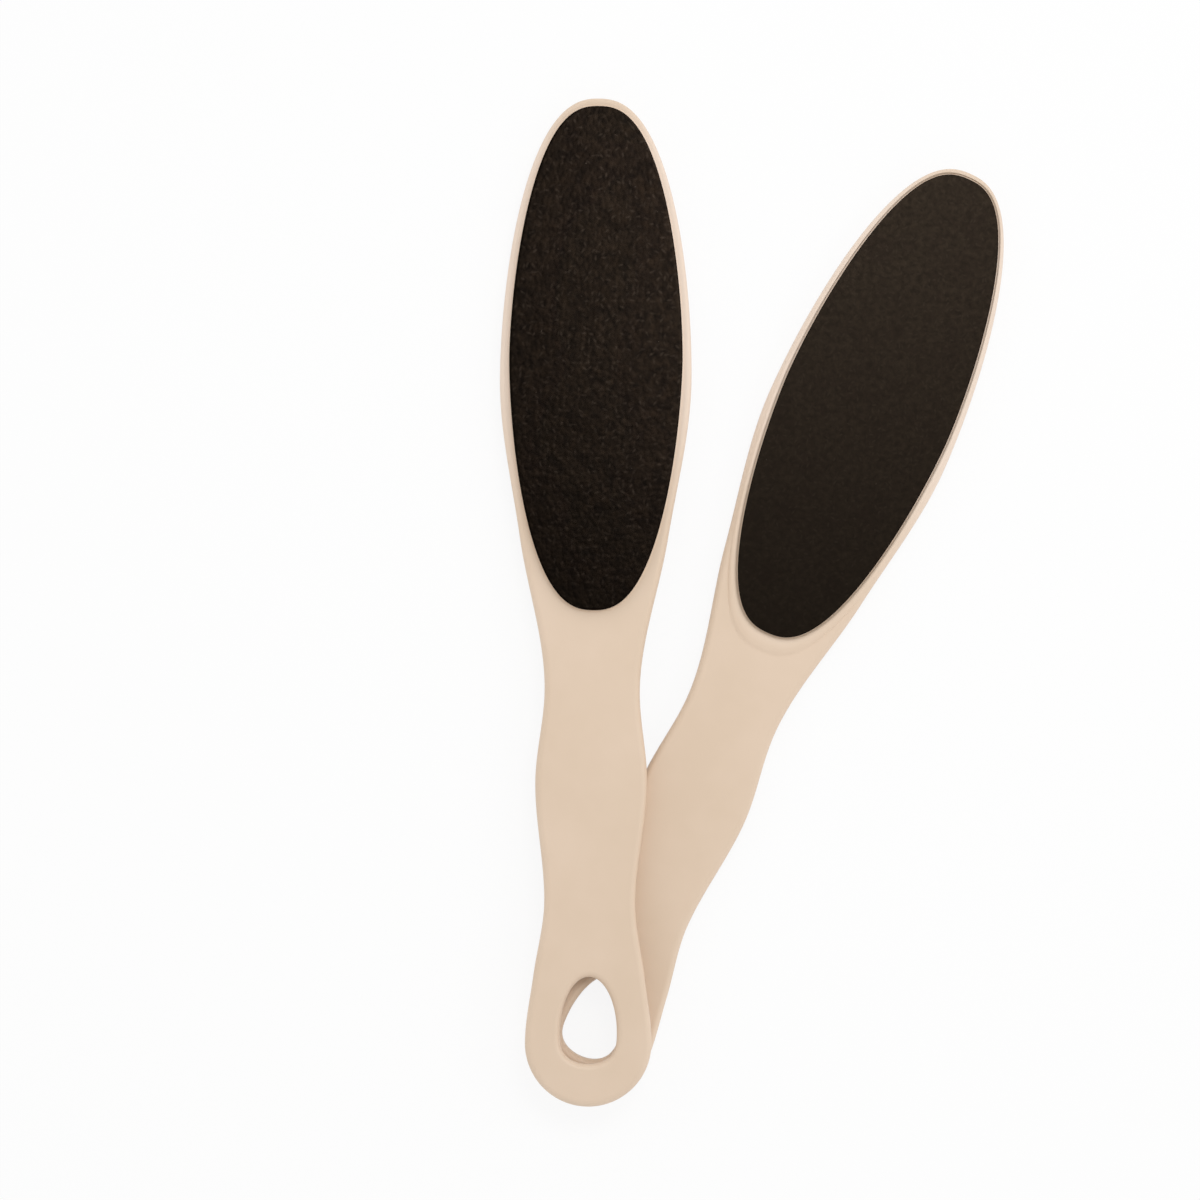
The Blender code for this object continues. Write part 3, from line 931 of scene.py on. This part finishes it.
# %% [markdown]
# ## The two grits
# The coarse grit is darker, with larger clumps and clearer painted stroke glints. The fine one is
# paler and more even. A metal this dark would still shine like a mirror at a low angle. A coat of
# grains doesn't, because there the grains hide one another, so a grey edge tint holds that shine
# down.

# %% The two grits
EDGE_TINT = (0.4, 0.4, 0.4, 1.0)


def grit_material(name, colours, sizes, painted_glint_from, roughness, grain_size, bump_height):
    """A grain coat's finish: colours with painted shade and glints, lustre by grain, and a fine
    bump.
    """
    material, tree, shader, vector = new_material(name)
    tone = add_node(tree, "ShaderNodeAttribute", attribute_name="tone").outputs["Fac"]
    inputs = {"Vector": vector, "Tone": tone, "Pale from": painted_glint_from, **colours, **sizes}
    grains = add_node(tree, "ShaderNodeGroup", inputs, node_tree=grain_colours_and_painted_light).outputs
    texture = add_uneven_skin(tree, vector, patch_size=6 * MM, grain_size=grain_size)[1]
    fill(tree, shader, {
        "Base Color": grains["Colour"],
        "Metallic": grains["Lustre"],
        "Normal": bump(tree, texture, bump_height),
        "Roughness": roughness,
        "Specular IOR Level": 0.04,
        "Specular Tint": EDGE_TINT})
    return material


coarse_grit = grit_material(
    "coarse_grit",
    # Painted light: the pit brown is shade, and the stroke and pale browns are glints
    {"Painted pit shade": linear(17, 13, 10), "Clump": linear(27, 21, 16), "Patch": linear(25, 19, 14),
     "Painted stroke glint": linear(35, 29, 24), "Painted pale glint": linear(62, 54, 47)},
    {"Clump size": 1.9 * MM, "Patch size": 5.0 * MM, "Stroke size": 1.5 * MM},
    painted_glint_from=0.975, roughness=0.28, grain_size=0.12 * MM, bump_height=0.001 * MM)
fine_grit = grit_material(
    "fine_grit",
    # Painted light: the pit brown is shade, and the stroke and pale browns are glints
    {"Painted pit shade": linear(28, 23, 18), "Clump": linear(35, 29, 23), "Patch": linear(32, 26, 21),
     "Painted stroke glint": linear(37, 31, 25), "Painted pale glint": linear(49, 42, 35)},
    {"Clump size": 1.2 * MM, "Patch size": 5.0 * MM, "Stroke size": 1.3 * MM},
    painted_glint_from=0.985, roughness=0.36, grain_size=0.08 * MM, bump_height=0.001 * MM)
print("made", coarse_grit.name, "and", fine_grit.name)

# %% [markdown]
# ## The four coats
# Each file has a coarse coat on one face and a fine one on the other. Both files use the same two
# reliefs, each laid on its own file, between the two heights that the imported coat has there.

# %% The four coats
COATS = {
    "coarse": dict(pad=COARSE_PAD, material=coarse_grit, seed=11,
                   sizes=(0.95 * MM, 0.50 * MM), depths=(0.031 * MM, 0.009 * MM)),
    "fine": dict(pad=FINE_PAD, material=fine_grit, seed=41,
                 sizes=(0.9 * MM, 0.45 * MM), depths=(0.006 * MM, 0.003 * MM)),
}


def coat_heights(name, kind):
    """The two heights of a packed coat in its file's own frame, the outer one last."""
    turn, origin = places[name]
    height = (node_points(f"{name}_{kind}_grit") - origin) @ turn[:, 2]
    return sorted((height.min(), height.max()), key=abs)


for name, place in places.items():
    for kind, coat in COATS.items():
        low, high = coat_heights(name, kind)
        grids, tones = coat_grids(
            coat["pad"], low, high, coat["sizes"], coat["depths"], coat["seed"])
        laid_grids = [laid(grid, place) for grid in grids]
        mesh = mesh_of(f"{name}_{kind}_coat", laid_grids, ("tone", tones))
        add_piece(f"{name}_{kind}_coat", closed(mesh, smooth=False), f"{name}_file",
                  f"{name}_{kind}_grit", coat["material"])

# %% [markdown]
# ## Film and paper
# Under the grain are a paper backing, tinted dark right through, and a clear adhesive film. Only
# their cut edges show, as thin lines round the pad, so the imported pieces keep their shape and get
# a finish each.

# %% The two thin layers
def backing_paper():
    """Dull dark paper, felted at its cut edge."""
    material, tree, shader, vector = new_material("backing_paper")
    drift, texture = add_uneven_skin(tree, vector, patch_size=4 * MM, grain_size=0.15 * MM)
    fill(tree, shader, {
        "Base Color": ramp(tree, drift, (0.3, linear(52, 44, 38)), (0.7, linear(68, 58, 50))),
        "Normal": bump(tree, texture, distance=0.02 * MM),
        "Roughness": 0.85,
        "Specular IOR Level": 0.2})
    return material


def adhesive_film():
    """A thin straw-coloured film with some gloss."""
    material, tree, shader, vector = new_material("adhesive_film")
    drift, texture = add_uneven_skin(tree, vector, patch_size=5 * MM, grain_size=0.3 * MM)
    fill(tree, shader, {
        "Base Color": ramp(tree, drift, (0.3, linear(196, 176, 146)), (0.7, linear(210, 192, 164))),
        "Normal": bump(tree, texture, distance=0.005 * MM),
        "Roughness": 0.3})
    return material


layer_materials = {"backing": backing_paper(), "adhesive": adhesive_film()}
for node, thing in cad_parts.items():
    layer = node.rsplit("_", 1)[-1]
    if layer in layer_materials:
        thing.data.materials.clear()
        thing.data.materials.append(layer_materials[layer])
print("thin layers:", sum(node.endswith(("backing", "adhesive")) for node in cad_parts))

# %% [markdown]
# ## Floor and light
# The photo has a white ground with no edge. A white floor under bright lamps would do that, but it
# would burn out the pale plastic too. Here the floor shows the camera mostly its own white and a
# little of the light that falls on it, which keeps a soft shadow.

# %% The floor
FLOOR_HALF = 3.0
FLOOR_GREY = (0.93, 0.93, 0.93, 1.0)
OWN_WHITE_SHARE = 0.88


def seen_directly(tree):
    """One for rays from the camera, or by way of a mirror or glass."""
    path = add_node(tree, "ShaderNodeLightPath").outputs
    seen = add_math(tree, "MAXIMUM", path["Is Camera Ray"], path["Is Glossy Ray"])
    return add_math(tree, "MAXIMUM", seen, path["Is Transmission Ray"])


def floor_material():
    """A pale floor that takes shadows, seen through its own white."""
    material, tree, shader, _ = new_material("studio_floor")
    fill(tree, shader, {"Base Color": FLOOR_GREY, "Roughness": 0.9, "Specular IOR Level": 0.0})
    own_white = add_node(tree, "ShaderNodeEmission", {"Color": (1, 1, 1, 1), "Strength": 1.0})
    share = add_math(tree, "MULTIPLY", seen_directly(tree), OWN_WHITE_SHARE)
    mix = add_node(tree, "ShaderNodeMixShader", {
        0: share, 1: shader.outputs[0], 2: own_white.outputs[0]})
    fill(tree, tree.nodes["Material Output"], {"Surface": mix.outputs[0]})
    return material


corners = FLOOR_HALF * np.array([(-1, -1, 0), (1, -1, 0), (1, 1, 0), (-1, 1, 0)], float)
floor_mesh = bpy.data.meshes.new("studio_floor")
floor_mesh.from_pydata(corners.tolist(), [], [(0, 1, 2, 3)])
floor_mesh.materials.append(floor_material())
floor = bpy.data.objects.new("studio_floor", floor_mesh)
bpy.context.scene.collection.objects.link(floor)
print("floor:", 2 * FLOOR_HALF, "m square")

# %% [markdown]
# ## The room and the lamps
# The light is a round room, white from the horizon up to mid-height and dim overhead, so that the
# dark pads mirror little of it. What they do mirror is a soft lamp nearly overhead, above the
# heads. It makes their upper ends paler than their lower ones, as in the photo. A fill lamp at the
# right lights the right edges, and leaves the left ones a little darker than the faces.

# %% The room and the lamps
HORIZON_STRENGTH = 1.0
ROOM_RISE = 1.05
ROOM_FALL = -1.94
LAMPS = {
    "overhead_lamp": dict(place=(0.065, 0.17, 0.50), size=0.22, power=0.79),
    "fill_lamp": dict(place=(0.70, 0.10, 0.70), size=0.40, power=0.55),
}
LAMP_TARGET = (0.0, 0.02, 0.0)


def room_light():
    """A round room, white from the horizon up to mid-height and dim overhead. Its strength is the
    horizon's, plus the rise times the height z of the direction, plus the fall times z squared,
    and never above one."""
    world = bpy.data.worlds.new("studio_room")
    world.use_nodes = True
    tree = world.node_tree
    direction = add_node(tree, "ShaderNodeTexCoord").outputs["Generated"]
    height = add_node(tree, "ShaderNodeSeparateXYZ", {0: direction}).outputs["Z"]
    slope = add_math(tree, "MULTIPLY_ADD", height, ROOM_FALL, ROOM_RISE)
    strength = add_math(tree, "MULTIPLY_ADD", height, slope, HORIZON_STRENGTH, use_clamp=True)
    fill(tree, tree.nodes["Background"], {"Color": (1, 1, 1, 1), "Strength": strength})
    return world


def look_at(thing, place, target):
    """Puts a lamp or camera at a place, facing a target, with +Y up in its picture."""
    forward = np.array(target, float) - np.array(place, float)
    forward /= np.linalg.norm(forward)
    right = np.cross(forward, (0, 1, 0))
    right /= np.linalg.norm(right)
    up = np.cross(right, forward)
    matrix = np.eye(4)
    matrix[:3, :3] = np.column_stack([right, up, -forward])
    matrix[:3, 3] = place
    thing.matrix_world = Matrix(matrix.tolist())


bpy.context.scene.world = room_light()
for name, lamp in LAMPS.items():
    lamp_data = bpy.data.lights.new(name, "AREA")
    lamp_data.shape = "SQUARE"
    lamp_data.size = lamp["size"]
    lamp_data.energy = lamp["power"]
    lamp_object = bpy.data.objects.new(name, lamp_data)
    lamp_object.visible_camera = False
    bpy.context.scene.collection.objects.link(lamp_object)
    look_at(lamp_object, lamp["place"], LAMP_TARGET)
print("lamps:", ", ".join(LAMPS))

# %% [markdown]
# ## The camera
# The photo looks straight down, and the two files nearly fill its height. Its left edge lies
# further from them than its right one. A long lens from far up gives the same flat view.

# %% The camera
VIEW_MIDDLE = (-33.2 * MM, 0.31 * MM)
VIEW_WIDTH = 261.7 * MM
FILES_MID_HEIGHT = 7 * MM
CAMERA_HEIGHT = 1.4

camera_data = bpy.data.cameras.new("camera")
camera_data.lens = camera_data.sensor_width * (CAMERA_HEIGHT - FILES_MID_HEIGHT) / VIEW_WIDTH
camera = bpy.data.objects.new("camera", camera_data)
bpy.context.scene.collection.objects.link(camera)
camera.location = (*VIEW_MIDDLE, CAMERA_HEIGHT)
bpy.context.scene.camera = camera
bpy.context.scene.view_settings.view_transform = "Standard"
print("lens in mm:", round(camera_data.lens, 1))
